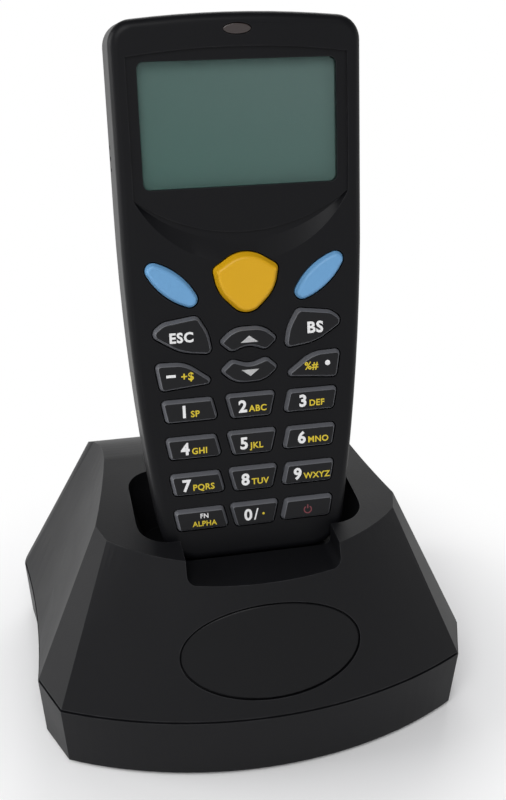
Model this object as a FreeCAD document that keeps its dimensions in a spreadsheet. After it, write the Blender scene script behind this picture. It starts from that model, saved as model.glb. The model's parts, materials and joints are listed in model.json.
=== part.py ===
import FreeCAD, Part
import math
import os
from FreeCAD import Vector

doc = FreeCAD.newDocument("data_terminal_in_cradle")

# Driving dimensions in millimetres and degrees. The row frame has X to the right,
# Y to the back and Z up, with the cradle's front towards -Y.
SIZES = [
    # The terminal's outline, its own frame standing upright with the face at depth 0
    ("terminal_length", 127.0),
    ("terminal_half_width", 28.0),
    ("side_sweep_radius", 560.0),
    ("shoulder_height", 84.0),
    ("top_bow", 1.6),
    ("top_corner_radius", 5.5),
    ("foot_corner_radius", 9.0),
    # The terminal's depth
    ("front_depth", 14.0),
    ("head_depth", 30.0),
    ("grip_depth", 26.0),
    ("head_height", 40.0),
    ("back_slope_height", 14.0),
    ("rear_draft_inset", 3.2),
    ("shell_wall", 2.0),
    ("face_wall", 2.4),
    ("face_edge_radius", 2.2),
    ("back_edge_radius", 3.0),
    ("terminal_lean", 8.83),
    # The face's features, heights measured down from the top edge
    ("bezel_top_drop", 7.2),
    ("bezel_half_width", 24.6),
    ("bezel_side_height", 32.0),
    ("bezel_arc_drop", 8.1),
    ("bezel_depth", 0.6),
    ("window_drop", 23.5),
    ("window_half_width", 22.2),
    ("window_half_height", 13.6),
    ("window_corner_radius", 1.6),
    ("window_thickness", 1.2),
    ("scoop_flat", 2.0),
    ("scoop_drop", 7.0),
    ("scoop_depth", 1.1),
    ("lens_drop", 3.6),
    ("lens_half_width", 3.1),
    ("lens_half_height", 1.15),
    ("lens_length", 5.0),
    # Keys
    ("key_clearance", 0.3),
    ("key_travel", 0.8),
    ("key_stem", 3.4),
    ("key_height", 1.3),
    ("key_bevel", 24.0),
    ("scan_drop", 58.65),
    ("scan_half_length", 7.25),
    ("scan_half_height", 6.9),
    ("scan_key_height", 1.9),
    ("side_key_drop", 58.35),
    ("side_key_reach", 17.3),
    ("side_key_length", 14.3),
    ("side_key_width", 5.7),
    ("side_key_slant", 41.0),
    ("corner_key_drop", 70.2),
    ("corner_key_reach", 15.5),
    ("corner_key_half_length", 7.0),
    ("corner_key_half_height", 4.5),
    ("sign_key_drop", 80.0),
    ("sign_key_reach", 15.7),
    ("sign_key_half_length", 6.5),
    ("sign_key_half_height", 3.4),
    ("up_key_drop", 72.0),
    ("down_key_drop", 79.7),
    ("arrow_half_length", 6.5),
    ("arrow_half_height", 2.7),
    ("row_drop", 88.1),
    ("row_pitch", 9.18),
    ("column_reach", 14.62),
    ("column_step", 0.5),
    ("digit_width", 12.3),
    ("digit_foot_width", 9.4),
    ("digit_height", 6.0),
    ("outer_digit_width", 12.1),
    ("outer_digit_height", 5.5),
    ("outer_digit_slant", 0.65),
    ("digit_corner_radius", 1.0),
    # Inside the terminal
    ("mat_gap", 0.2),
    ("mat_thickness", 0.8),
    ("mat_inset", 3.2),
    ("mat_top_gap", 43.0),
    ("board_gap", 0.2),
    ("board_thickness", 1.6),
    ("lcd_thickness", 2.5),
    ("lcd_gap", 0.9),
    ("lcd_margin", 1.2),
    ("lcd_frame_wall", 1.4),
    ("fit_gap", 0.1),
    ("board_inset", 2.6),
    ("engine_half", 10.0),
    ("engine_height", 12.0),
    ("engine_depth", 10.0),
    ("scan_window_half_width", 12.0),
    ("scan_window_half_depth", 5.0),
    ("scan_window_thickness", 1.5),
    ("scan_window_sink", 2.3),
    ("engine_gap", 1.4),
    ("battery_radius", 5.2),
    ("battery_length", 44.0),
    ("battery_pitch", 11.2),
    ("battery_foot_gap", 4.0),
    ("battery_gap", 0.6),
    ("door_half_width", 15.0),
    ("door_length", 54.0),
    ("door_foot_gap", 20.0),
    ("door_thickness", 1.6),
    ("door_gap", 0.3),
    ("door_corner_radius", 3.0),
    ("door_ledge", 1.8),
    ("door_frame", 2.4),
    ("door_frame_depth", 3.6),
    ("door_rib_pitch", 2.0),
    ("door_rib_depth", 0.5),
    ("tab_thickness", 0.6),
    ("sounder_radius", 4.5),
    ("sounder_thickness", 3.0),
    ("sounder_gap", 0.8),
    ("slot_pitch", 2.5),
    ("slot_width", 0.9),
    ("slot_length", 1.6),
    ("slot_drop", 28.5),
    ("slot_depth_place", 11.0),
    ("contact_pitch", 4.0),
    ("contact_half_width", 1.3),
    ("contact_depth_place", 20.0),
    ("contact_height", 1.6),
    ("contact_thickness", 1.8),
    ("shell_screw_radius", 1.0),
    ("shell_screw_head_radius", 1.9),
    ("shell_screw_head", 1.3),
    ("shell_screw_length", 12.0),
    ("shell_screw_reach", 16.5),
    ("shell_screw_foot", 11.0),
    ("shell_screw_top", 79.5),
    ("screw_clearance", 0.2),
    ("infrared_place", 10.6),
    ("infrared_half_width", 2.4),
    ("infrared_half_depth", 2.0),
    ("infrared_thickness", 1.6),
    # The cradle: outline at the parting line, and the top
    ("cradle_front", 46.6),
    ("cradle_rear", 46.6),
    ("corner_half_width", 50.7),
    ("corner_y", 33.5),
    ("side_half_width", 55.5),
    ("side_y", 20.8),
    ("waist_half_width", 54.7),
    ("waist_y", 5.0),
    ("rear_corner_bulge", 3.2),
    ("rear_half_width", 57.0),
    ("rear_side_y", 33.0),
    ("rear_corner_x", 45.0),
    ("parting_height", 17.0),
    ("base_draft", 1.0),
    ("parting_groove", 0.5),
    ("cover_height", 60.0),
    ("top_front_y", 29.9),
    ("top_corner_half_width", 33.7),
    ("top_corner_y", 15.7),
    ("top_side_half_width", 35.7),
    ("top_side_y", 10.8),
    ("top_waist_half_width", 33.0),
    ("top_rear_half_width", 31.0),
    ("top_rear_side_y", 34.0),
    ("top_rear_corner_x", 24.0),
    ("top_rear_y", 44.6),
    ("deck_front_height", 51.0),
    ("deck_rear_height", 57.2),
    ("deck_crest_y", 16.0),
    ("deck_tail_height", 45.5),
    ("cover_wall", 2.6),
    ("deck_wall", 3.0),
    ("tray_wall", 2.4),
    ("tray_floor", 2.4),
    ("cradle_foot_height", 1.0),
    ("cradle_foot_radius", 5.0),
    ("foot_inset_x", 42.0),
    ("foot_front_y", 27.0),
    ("foot_rear_y", 36.0),
    ("foot_seat", 0.8),
    # The pocket that the terminal stands in
    ("seat_front_y", 21.0),
    ("seat_height", 46.4),
    ("seat_clearance", 0.5),
    ("pocket_floor_half_width", 25.0),
    ("pocket_half_width", 28.4),
    ("pocket_flare_height", 9.0),
    ("pocket_corner_radius", 7.0),
    ("pocket_wall", 2.4),
    ("notch_half_width", 18.8),
    ("notch_floor", 47.4),
    ("notch_corner_radius", 2.0),
    # Cradle fittings
    ("oval_half_width", 21.9),
    ("oval_half_height", 11.2),
    ("oval_centre_height", 32.0),
    ("oval_tilt", 21.3),
    ("oval_thickness", 1.0),
    ("oval_gap", 0.35),
    ("oval_sink", 0.3),
    ("cradle_board_half_width", 27.0),
    ("cradle_board_depth", 30.0),
    ("cradle_board_gap", 1.4),
    ("ballast_half_width", 34.0),
    ("ballast_front_y", 22.0),
    ("ballast_depth", 32.0),
    ("ballast_thickness", 4.0),
    ("pin_radius", 0.9),
    ("pin_length", 9.6),
    ("pin_clearance", 0.15),
    ("pin_gap", 0.1),
    ("block_half_width", 12.0),
    ("block_depth", 7.0),
    ("block_height", 6.0),
    ("socket_place", 18.0),
    ("jack_radius", 2.9),
    ("jack_half_width", 4.6),
    ("jack_height", 9.2),
    ("jack_length", 12.0),
    ("jack_pin_radius", 1.0),
    ("port_half_width", 7.6),
    ("port_height", 9.4),
    ("port_length", 14.0),
    ("port_mouth_half_width", 5.4),
    ("port_mouth_height", 6.6),
    ("socket_recess", 0.6),
    ("cradle_screw_radius", 1.5),
    ("cradle_screw_head_radius", 3.0),
    ("cradle_screw_head", 2.0),
    ("cradle_screw_length", 18.0),
    ("screw_place_x", 33.0),
    ("screw_front_y", 30.0),
    ("screw_rear_y", 39.0),
    ("boss_wall", 1.8),
]

sheet = doc.addObject("Spreadsheet::Sheet", "sizes")
for row, (alias, value) in enumerate(SIZES, start=1):
    sheet.set(f"A{row}", alias)
    sheet.set(f"B{row}", str(value))
    sheet.setAlias(f"B{row}", alias)
doc.recompute()


def mm(alias):
    return float(getattr(sheet, alias))


# Every finished sub-part is listed here under the name of its node.
parts = {}


def keep(obj, label):
    obj.Label = label
    parts[label] = obj
    return obj


def solid(label, shape):
    obj = doc.addObject("Part::Feature", label)
    obj.Shape = shape
    return keep(obj, label)


def bind(obj, **expressions):
    for prop, expression in expressions.items():
        obj.setExpression(prop.replace("__", "."), expression)
    return obj


def cell(expression):
    """An expression with each alias turned into a reference to its cell."""
    words = []
    for word in expression.replace("(", " ( ").replace(")", " ) ").split():
        words.append("sizes." + word if word in NAMES else word)
    return " ".join(words)


NAMES = {alias for alias, value in SIZES}


def box(name, length, width, height, x, y, z):
    obj = doc.addObject("Part::Box", name)
    bind(obj, Length=cell(length), Width=cell(width), Height=cell(height))
    bind(obj, Placement__Base__x=cell(x), Placement__Base__y=cell(y), Placement__Base__z=cell(z))
    return obj


# Flat outlines in sketch coordinates, as lists of curves end to end.

def corner(before, point, after, radius):
    """The tangent points and the middle of the arc that rounds one corner."""
    a = (before - point).normalize()
    b = (after - point).normalize()
    half = math.acos(max(-1.0, min(1.0, a.dot(b)))) / 2
    reach = radius / math.tan(half)
    centre = point + (a + b).normalize() * (radius / math.sin(half))
    middle = centre + (point - centre).normalize() * radius
    return point + a * reach, middle, point + b * reach


def softened(points):
    """A closed polygon whose corners each have a radius of their own."""
    ends = []
    count = len(points)
    flat = [Vector(x, y, 0) for x, y, radius in points]
    for i, (x, y, radius) in enumerate(points):
        ends.append(corner(flat[i - 1], flat[i], flat[(i + 1) % count], radius))
    curves = []
    for i in range(count):
        first, middle, last = ends[i]
        curves.append(Part.Arc(first, middle, last))
        curves.append(Part.LineSegment(last, ends[(i + 1) % count][0]))
    return curves


def rounded(points, radius):
    return softened([(x, y, radius) for x, y in points])


def rectangle(half_width, low, high, radius):
    return rounded([(-half_width, low), (half_width, low), (half_width, high), (-half_width, high)], radius)


def oval(x, y, half_length, half_width, degrees=0.0):
    turn = math.radians(degrees)
    along = Vector(math.cos(turn), math.sin(turn), 0)
    across = Vector(-math.sin(turn), math.cos(turn), 0)
    centre = Vector(x, y, 0)
    return [Part.Ellipse(centre + along * half_length, centre + across * half_width, centre)]


def four_arc_oval(half_length, half_width, degrees):
    """An oval of two end arcs and two side arcs, all meeting in tangents."""
    span = half_length - half_width
    reach = math.hypot(half_length, half_width)
    chord = (reach - span) / 2
    lean = math.atan2(half_width, half_length)
    end_radius = chord / math.cos(lean)
    end_centre = half_length - end_radius
    side_centre = end_centre * half_length / half_width
    side_radius = half_width + side_centre
    meet = math.atan2(side_centre, end_centre)
    point = Vector(end_centre + end_radius * math.cos(meet), end_radius * math.sin(meet), 0)
    right = Vector(half_length, 0, 0)
    top = Vector(0, side_radius - side_centre, 0)

    def turned(x, y):
        turn = math.radians(degrees)
        return Vector(x * math.cos(turn) - y * math.sin(turn), x * math.sin(turn) + y * math.cos(turn), 0)

    return [
        Part.Arc(turned(point.x, -point.y), turned(right.x, 0), turned(point.x, point.y)),
        Part.Arc(turned(point.x, point.y), turned(0, top.y), turned(-point.x, point.y)),
        Part.Arc(turned(-point.x, point.y), turned(-right.x, 0), turned(-point.x, -point.y)),
        Part.Arc(turned(-point.x, -point.y), turned(0, -top.y), turned(point.x, -point.y)),
    ]


def shifted(curves, x, y):
    moved = []
    for curve in curves:
        copy = curve.copy()
        copy.translate(Vector(x, y, 0))
        moved.append(copy)
    return moved


def flat_wire(curves):
    return Part.Wire([curve.toShape() for curve in curves])


def facing(wire, depth):
    """Stands a flat wire up in the XZ plane at a depth along Y."""
    copy = wire.copy()
    copy.rotate(Vector(0, 0, 0), Vector(1, 0, 0), 90)
    copy.translate(Vector(0, depth, 0))
    return copy


def prism(wire, depth, length):
    return Part.Face(facing(wire, depth)).extrude(Vector(0, length, 0))


# PartDesign helpers: a body grows from sketches that face the front, with depth along Y.

def new_body(label):
    return keep(doc.addObject("PartDesign::Body", label), label)


def face_sketch(body, name, curves, depth):
    sketch = body.newObject("Sketcher::SketchObject", name)
    plane = [f for f in body.Origin.OriginFeatures if f.Role == "XZ_Plane"][0]
    sketch.AttachmentSupport = [(plane, "")]
    sketch.MapMode = "FlatFace"
    sketch.setExpression("AttachmentOffset.Base.z", cell(f"0 mm - ( {depth} ) * 1 mm"))
    sketch.addGeometry(curves, False)
    return sketch


def pad(body, sketch, length, backwards=True, taper=None):
    feature = body.newObject("PartDesign::Pad", sketch.Name + "_pad")
    feature.Profile = sketch
    feature.Reversed = backwards
    feature.setExpression("Length", cell(f"( {length} ) * 1 mm"))
    if taper:
        feature.setExpression("TaperAngle", cell(f"( {taper} ) * 1 deg"))
    return feature


def pocket(body, sketch, length):
    feature = body.newObject("PartDesign::Pocket", sketch.Name + "_pocket")
    feature.Profile = sketch
    feature.Reversed = True
    feature.setExpression("Length", cell(f"( {length} ) * 1 mm"))
    return feature


# The terminal stands in the cradle, leaning back about its lower front edge.
LEAN = FreeCAD.Placement(
    Vector(0, -mm("seat_front_y"), mm("seat_height")),
    FreeCAD.Rotation(Vector(1, 0, 0), -mm("terminal_lean")),
)


def seat(obj):
    obj.Placement = LEAN.multiply(obj.Placement)
    return obj


def from_top(alias):
    return mm("terminal_length") - mm(alias)


# Terminal outline seen from the front: a wide head that narrows in one sweep to the foot.

def terminal_outline(inset=0.0):
    """The closed outline, or a true inset of it: every arc keeps its centre."""
    top = mm("terminal_length")
    head = mm("terminal_half_width")
    shoulder = mm("shoulder_height")
    sweep = mm("side_sweep_radius")
    low = mm("foot_corner_radius")
    turn = mm("top_corner_radius")
    crown = (head ** 2 + mm("top_bow") ** 2) / (2 * mm("top_bow"))
    foot_height = low * (sweep - shoulder) / (sweep - low)
    tilt = math.asin((shoulder - foot_height) / sweep)
    sweep_centre = Vector(head - sweep, shoulder, 0)
    foot_side = sweep_centre + Vector(math.cos(tilt), -math.sin(tilt), 0) * sweep
    foot_centre = foot_side - Vector(math.cos(tilt), -math.sin(tilt), 0) * low
    crown_centre = Vector(0, top - crown, 0)
    turn_height = top - crown + math.sqrt((crown - turn) ** 2 - (head - turn) ** 2)
    turn_centre = Vector(head - turn, turn_height, 0)
    crown_side = (turn_centre - crown_centre).normalize()

    def on(centre, radius, degrees):
        angle = math.radians(degrees)
        return centre + Vector(math.cos(angle), math.sin(angle), 0) * (radius - inset)

    def flip(point):
        return Vector(-point.x, point.y, 0)

    crown_degrees = math.degrees(math.atan2(crown_side.y, crown_side.x))
    tilt_degrees = math.degrees(tilt)
    top_side = on(crown_centre, crown, crown_degrees)
    turn_middle = on(turn_centre, turn, crown_degrees / 2)
    right_top = on(turn_centre, turn, 0)
    right_shoulder = on(sweep_centre, sweep, 0)
    sweep_middle = on(sweep_centre, sweep, -tilt_degrees / 2)
    side_end = on(foot_centre, low, -tilt_degrees)
    foot_middle = on(foot_centre, low, -(90 + tilt_degrees) / 2)
    base_end = on(foot_centre, low, -90)
    return [
        Part.Arc(flip(top_side), Vector(0, top - inset, 0), top_side),
        Part.Arc(top_side, turn_middle, right_top),
        Part.LineSegment(right_top, right_shoulder),
        Part.Arc(right_shoulder, sweep_middle, side_end),
        Part.Arc(side_end, foot_middle, base_end),
        Part.LineSegment(base_end, flip(base_end)),
        Part.Arc(flip(base_end), flip(foot_middle), flip(side_end)),
        Part.Arc(flip(side_end), flip(sweep_middle), flip(right_shoulder)),
        Part.LineSegment(flip(right_shoulder), flip(right_top)),
        Part.Arc(flip(right_top), flip(turn_middle), flip(top_side)),
    ]


outline = flat_wire(terminal_outline())
inner_outline = flat_wire(terminal_outline(mm("shell_wall")))


def bezel_outline():
    """The recess round the display: a bowed top, upright sides and a deep arc below."""
    half = mm("bezel_half_width")
    high = from_top("bezel_top_drop")
    low = high - mm("bezel_side_height")
    rise = mm("top_bow")
    return [
        Part.Arc(Vector(-half, high - rise, 0), Vector(0, high, 0), Vector(half, high - rise, 0)),
        Part.LineSegment(Vector(half, high - rise, 0), Vector(half, low, 0)),
        Part.Arc(Vector(half, low, 0), Vector(0, low - mm("bezel_arc_drop"), 0), Vector(-half, low, 0)),
        Part.LineSegment(Vector(-half, low, 0), Vector(-half, high - rise, 0)),
    ]


def crescent(low, depth):
    """The region between the bezel's lower corners and an arc that dips to a height."""
    half = mm("bezel_half_width")
    side = from_top("bezel_top_drop") - mm("bezel_side_height")
    left = Vector(-half, side, 0)
    right = Vector(half, side, 0)
    return facing(flat_wire([
        Part.Arc(left, Vector(0, low, 0), right),
        Part.LineSegment(right, left),
    ]), depth)


def bezel_shape():
    """The display's recess, with a crescent hollow that slopes out of it to the keypad's face."""
    recess = prism(flat_wire(bezel_outline()), -1, 1 + mm("bezel_depth"))
    edge = from_top("bezel_top_drop") - mm("bezel_side_height") - mm("bezel_arc_drop")
    brim = crescent(edge - mm("scoop_drop"), 0)
    floor = crescent(edge - mm("scoop_flat"), mm("scoop_depth"))
    hollow = Part.makeLoft([brim, floor], True, True)
    hollow = hollow.fuse(Part.Face(brim).extrude(Vector(0, -1, 0)))
    beyond = prism(flat_wire(bezel_outline()), -2, 2 + 2 * mm("scoop_depth"))
    return recess.fuse(hollow.cut(beyond))


# Keys: each entry gives the node's name, its outline about its own centre, and its centre.

def mirrored(points):
    return [(-x, y, radius) for x, y, radius in reversed(points)]


# Outlines of the shaped keys, each corner as shares of the key's half length and half height,
# with its radius in millimetres.
SCAN_KEY = [(0.0, 1.2, 8.0), (1.07, 0.48, 1.5), (0.92, -0.32, 9.0),
            (0.0, -1.29, 4.3), (-0.92, -0.32, 9.0), (-1.07, 0.48, 1.5)]
CORNER_KEY = [(-1.12, 0.16, 1.6), (-0.63, 0.76, 4.0), (0.53, 1.0, 1.6),
              (0.88, 0.04, 9.0), (1.0, -1.09, 1.3), (-0.09, -0.87, 12.0)]
SIGN_KEY = [(-1.01, 1.09, 1.2), (0.09, 1.03, 8.0), (1.21, -0.56, 0.9), (-0.85, -0.91, 1.2)]
ARROW_KEY = [(-1.09, -0.15, 1.0), (-0.55, 1.03, 6.0), (0.55, 1.03, 6.0), (1.09, -0.15, 1.0),
             (0.64, -1.11, 1.6), (0.0, -0.56, 5.0), (-0.64, -1.11, 1.6)]


def key_curves(shape, half_length, half_height, upside_down=False):
    sign = -1 if upside_down else 1
    points = [(x * mm(half_length), sign * y * mm(half_height), radius) for x, y, radius in shape]
    return softened(points)


def digit_curves(column):
    tall = mm("digit_height")
    wide = mm("digit_width") / 2
    foot = mm("digit_foot_width") / 2
    if column == 0:
        shape = [(-wide, tall / 2), (wide, tall / 2), (foot, -tall / 2), (-foot, -tall / 2)]
        return rounded(shape, mm("digit_corner_radius"))
    tall = mm("outer_digit_height")
    wide = mm("outer_digit_width") / 2
    slant = mm("outer_digit_slant")
    turn = mm("digit_corner_radius")
    shape = [(-wide - slant, tall / 2, turn), (wide - slant, tall / 2, turn),
             (wide + slant, -tall / 2, turn), (-wide + slant / 2, -tall / 2, turn)]
    return softened(mirrored(shape) if column == 1 else shape)


def key_table():
    table = []
    size = ("scan_half_length", "scan_half_height")
    table.append(("scan_key", key_curves(SCAN_KEY, *size), 0, from_top("scan_drop")))
    reach = mm("side_key_reach")
    long = mm("side_key_length") / 2
    wide = mm("side_key_width") / 2
    slant = mm("side_key_slant")
    high = from_top("side_key_drop")
    table.append(("left_blue_key", four_arc_oval(long, wide, -slant), -reach, high))
    table.append(("right_blue_key", four_arc_oval(long, wide, slant), reach, high))
    reach = mm("corner_key_reach")
    high = from_top("corner_key_drop")
    size = ("corner_key_half_length", "corner_key_half_height")
    table.append(("esc_key", key_curves(CORNER_KEY, *size), -reach, high))
    table.append(("backspace_key", key_curves(mirrored(CORNER_KEY), *size), reach, high))
    reach = mm("sign_key_reach")
    high = from_top("sign_key_drop")
    size = ("sign_key_half_length", "sign_key_half_height")
    table.append(("minus_key", key_curves(SIGN_KEY, *size), -reach, high))
    table.append(("symbol_key", key_curves(mirrored(SIGN_KEY), *size), reach, high))
    size = ("arrow_half_length", "arrow_half_height")
    table.append(("up_key", key_curves(ARROW_KEY, *size), 0, from_top("up_key_drop")))
    table.append(("down_key", key_curves(ARROW_KEY, *size, True), 0, from_top("down_key_drop")))
    names = [
        ["digit_1_key", "digit_2_key", "digit_3_key"],
        ["digit_4_key", "digit_5_key", "digit_6_key"],
        ["digit_7_key", "digit_8_key", "digit_9_key"],
        ["alpha_key", "digit_0_key", "power_key"],
    ]
    for row, triple in enumerate(names):
        high = from_top("row_drop") - row * mm("row_pitch")
        reach = mm("column_reach") - row * mm("column_step")
        for column, name in zip((-1, 0, 1), triple):
            table.append((name, digit_curves(column), column * reach, high))
    return table


keys = key_table()


# Terminal front shell: a deep tray with the face's openings, recesses and rounded rim.

def front_shell_shape():
    depth = mm("front_depth")
    shell = prism(outline, 0, depth)
    rim = [e for e in shell.Edges if abs(e.BoundBox.YMax) < 0.01]
    shell = shell.makeFillet(mm("face_edge_radius"), rim)
    shell = shell.cut(prism(inner_outline, mm("face_wall"), depth))
    shell = shell.cut(bezel_shape())
    centre = from_top("window_drop")
    half = mm("window_half_height")
    window = flat_wire(rectangle(
        mm("window_half_width"), centre - half, centre + half, mm("window_corner_radius")))
    shell = shell.cut(prism(window, -1, 2 + mm("face_wall")))
    gap = mm("fit_gap")
    lens = flat_wire(oval(
        0, from_top("lens_drop"), mm("lens_half_width") + gap, mm("lens_half_height") + gap))
    shell = shell.cut(prism(lens, -1, 1 + mm("lens_length")))
    for name, curves, x, high in keys:
        hole = flat_wire(shifted(curves, x, high)).makeOffset2D(mm("key_clearance"))
        shell = shell.cut(prism(hole, -1, 2 + mm("face_wall")))
    for place in range(3):
        high = from_top("slot_drop") - place * mm("slot_pitch")
        slot = Part.makeBox(
            mm("shell_wall") * 4, mm("slot_length"), mm("slot_width"),
            Vector(-mm("terminal_half_width") - mm("shell_wall") * 2, mm("slot_depth_place"), high))
        shell = shell.cut(slot)
    return shell.fuse(front_bosses()).removeSplitter()


def shell_screw_places():
    return [(side * mm("shell_screw_reach"), high)
            for side in (-1, 1) for high in (mm("shell_screw_foot"), mm("shell_screw_top"))]


def front_bosses():
    """Screw posts standing on webs from the side walls, behind the main board."""
    low = board_front() + mm("board_thickness") + mm("board_gap")
    radius = mm("shell_screw_radius") + mm("boss_wall")
    long = mm("front_depth") - low
    bosses = []
    for x, high in shell_screw_places():
        post = Part.makeCylinder(radius, long, Vector(x, low, high), Vector(0, 1, 0))
        side = 1 if x > 0 else -1
        web = Part.makeBox(mm("terminal_half_width"), long, mm("boss_wall"),
                           Vector(min(x, x + side * mm("terminal_half_width")), low,
                                  high - mm("boss_wall") / 2))
        hole = Part.makeCylinder(
            mm("shell_screw_radius"), long, Vector(x, low, high), Vector(0, 1, 0))
        bosses.append(post.fuse(web).cut(hole))
    inside = prism(flat_wire(terminal_outline(mm("shell_wall") / 2)), 0, mm("front_depth"))
    return bosses[0].fuse(bosses[1:]).common(inside)


def mat_front():
    return mm("key_stem") + mm("key_travel") + mm("mat_gap")


def board_front():
    return mat_front() + mm("mat_thickness") + mm("board_gap")


seat(solid("front_shell", front_shell_shape()))


# Terminal rear shell: a drafted cap, deep behind the head and thinner in the grip.

def back_profile(inset):
    """The rear shell's side view, extruded across the width."""
    front = mm("front_depth")
    top = mm("terminal_length")
    head = mm("head_depth") - inset
    grip = mm("grip_depth") - inset
    knee = top - mm("head_height")
    wide = mm("terminal_half_width") + 5
    points = [
        Vector(-wide, front - 5, -5),
        Vector(-wide, grip, -5),
        Vector(-wide, grip, knee - mm("back_slope_height")),
        Vector(-wide, head, knee),
        Vector(-wide, head, top + 5),
        Vector(-wide, front - 5, top + 5),
        Vector(-wide, front - 5, -5),
    ]
    return Part.Face(Part.makePolygon(points)).extrude(Vector(2 * wide, 0, 0))


def rear_block(inset):
    front = mm("front_depth")
    back = mm("head_depth")
    wide = flat_wire(terminal_outline(inset))
    narrow = flat_wire(terminal_outline(inset + mm("rear_draft_inset")))
    block = Part.makeLoft([facing(wide, front), facing(narrow, back)], True, True)
    return block.common(back_profile(inset))


def rear_shell_shape():
    outside = rear_block(0)
    back = [e for e in outside.Edges if e.BoundBox.YMin > mm("grip_depth") - 0.01]
    return outside.makeFillet(mm("back_edge_radius"), back)


rear_outside = rear_shell_shape()


def door_wire(grow):
    foot = mm("door_foot_gap") - grow
    top = mm("door_foot_gap") + mm("door_length") + grow
    half = mm("door_half_width") + grow
    return flat_wire(rectangle(half, foot, top, mm("door_corner_radius") + grow))


def screw_head_base():
    return mm("grip_depth") - mm("shell_screw_head") - mm("shell_wall") / 2


def scan_depth():
    return (mm("front_depth") + mm("head_depth")) / 2


def contact_places():
    return [(place - 1.5) * mm("contact_pitch") for place in range(4)]


def foot_window(grow, low, high):
    """The block of the infrared window at the terminal's foot."""
    half = mm("infrared_half_width") + grow
    deep = mm("infrared_half_depth") + grow
    corner_point = Vector(mm("infrared_place") - half, mm("contact_depth_place") - deep, low)
    return Part.makeBox(2 * half, 2 * deep, high - low, corner_point)


def foot_contact(x, grow, low, high):
    half = mm("contact_half_width") + grow
    corner_point = Vector(x - half, mm("contact_depth_place") - half, low)
    return Part.makeBox(2 * half, 2 * half, high - low, corner_point)


def rear_shell_finished():
    shell = rear_outside.cut(rear_block(mm("shell_wall")))
    frame_front = mm("grip_depth") - mm("door_frame_depth")
    ledge_back = mm("grip_depth") - mm("door_thickness") - mm("fit_gap")
    frame = prism(door_wire(mm("door_frame")), frame_front, mm("door_frame_depth"))
    shell = shell.fuse(frame.common(rear_outside))
    for x, high in shell_screw_places():
        boss = Part.makeCylinder(
            mm("shell_screw_head_radius") + mm("boss_wall"), mm("head_depth"),
            Vector(x, mm("front_depth"), high), Vector(0, 1, 0))
        shell = shell.fuse(boss.common(rear_outside))
    shell = shell.cut(prism(door_wire(-mm("door_ledge")), frame_front - 1, mm("head_depth")))
    shell = shell.cut(prism(door_wire(mm("door_gap")), ledge_back, mm("head_depth")))
    for x, high in shell_screw_places():
        hole = Part.makeCylinder(
            mm("shell_screw_radius") + mm("screw_clearance"), mm("head_depth"),
            Vector(x, 0, high), Vector(0, 1, 0))
        sink = Part.makeCylinder(
            mm("shell_screw_head_radius") + mm("screw_clearance"), mm("head_depth"),
            Vector(x, screw_head_base(), high), Vector(0, 1, 0))
        shell = shell.cut(hole).cut(sink)
    half = mm("scan_window_half_width") + mm("fit_gap")
    deep = mm("scan_window_half_depth") + mm("fit_gap")
    scan = Part.makeBox(2 * half, 2 * deep, mm("engine_height"),
                        Vector(-half, scan_depth() - deep, scan_window_foot() - mm("engine_gap")))
    shell = shell.cut(scan)
    wall_top = mm("rear_draft_inset") + mm("shell_wall") + 1
    shell = shell.cut(foot_window(mm("fit_gap"), -1, wall_top))
    for x in contact_places():
        shell = shell.cut(foot_contact(x, mm("fit_gap"), -1, wall_top))
    return shell.removeSplitter()


def scan_window_foot():
    return mm("terminal_length") - mm("scan_window_sink") - mm("scan_window_thickness")


seat(solid("rear_shell", rear_shell_finished()))


# Four cross-head screws that close the shells from behind.

def shell_screw(x, high):
    base = screw_head_base()
    head_radius = mm("shell_screw_head_radius")
    head = Part.makeCylinder(
        head_radius, mm("shell_screw_head"), Vector(x, base, high), Vector(0, 1, 0))
    shank = Part.makeCylinder(
        mm("shell_screw_radius"), mm("shell_screw_length"),
        Vector(x, base - mm("shell_screw_length"), high), Vector(0, 1, 0))
    slot_long = head_radius * 1.2
    slot_wide = head_radius * 0.25
    slot = Part.makeBox(
        slot_long, slot_long, slot_wide,
        Vector(x - slot_long / 2, base + mm("shell_screw_head") / 2, high - slot_wide / 2))
    upright = slot.copy()
    upright.rotate(Vector(x, 0, high), Vector(0, 1, 0), 90)
    return head.fuse(shank).cut(slot).cut(upright)


seat(solid("shell_screws", Part.makeCompound(
    [shell_screw(x, high) for x, high in shell_screw_places()])))


# The battery door: a flush plate on the back with a ribbed finger patch.

door = new_body("battery_door")
door_sketch = face_sketch(
    door, "door_outline", rectangle(
        mm("door_half_width"), mm("door_foot_gap"), mm("door_foot_gap") + mm("door_length"),
        mm("door_corner_radius")),
    "grip_depth - door_thickness")
pad(door, door_sketch, "door_thickness")
rib_curves = []
for rib in range(4):
    rib_low = mm("door_foot_gap") + mm("door_length") - 6 - rib * mm("door_rib_pitch")
    rib_curves += rectangle(mm("door_half_width") / 2, rib_low, rib_low + 1, 0.4)
rib_sketch = face_sketch(door, "door_ribs", rib_curves, "grip_depth - door_rib_depth")
pocket(door, rib_sketch, "door_rib_depth")
seat(door)


# Display: a clear pane in the bezel, the glass module behind it and the module's frame.

def window_rectangle(grow):
    centre = from_top("window_drop")
    half = mm("window_half_height") + grow
    return rectangle(mm("window_half_width") + grow, centre - half, centre + half,
                     mm("window_corner_radius"))


window = new_body("display_window")
pad(window, face_sketch(window, "pane", window_rectangle(-mm("fit_gap")), "bezel_depth"),
    "window_thickness")
seat(window)

lcd = new_body("lcd_panel")
lcd_front = "bezel_depth + window_thickness + lcd_gap"
pad(lcd, face_sketch(lcd, "glass", window_rectangle(mm("lcd_margin")), lcd_front), "lcd_thickness")
seat(lcd)

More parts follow.
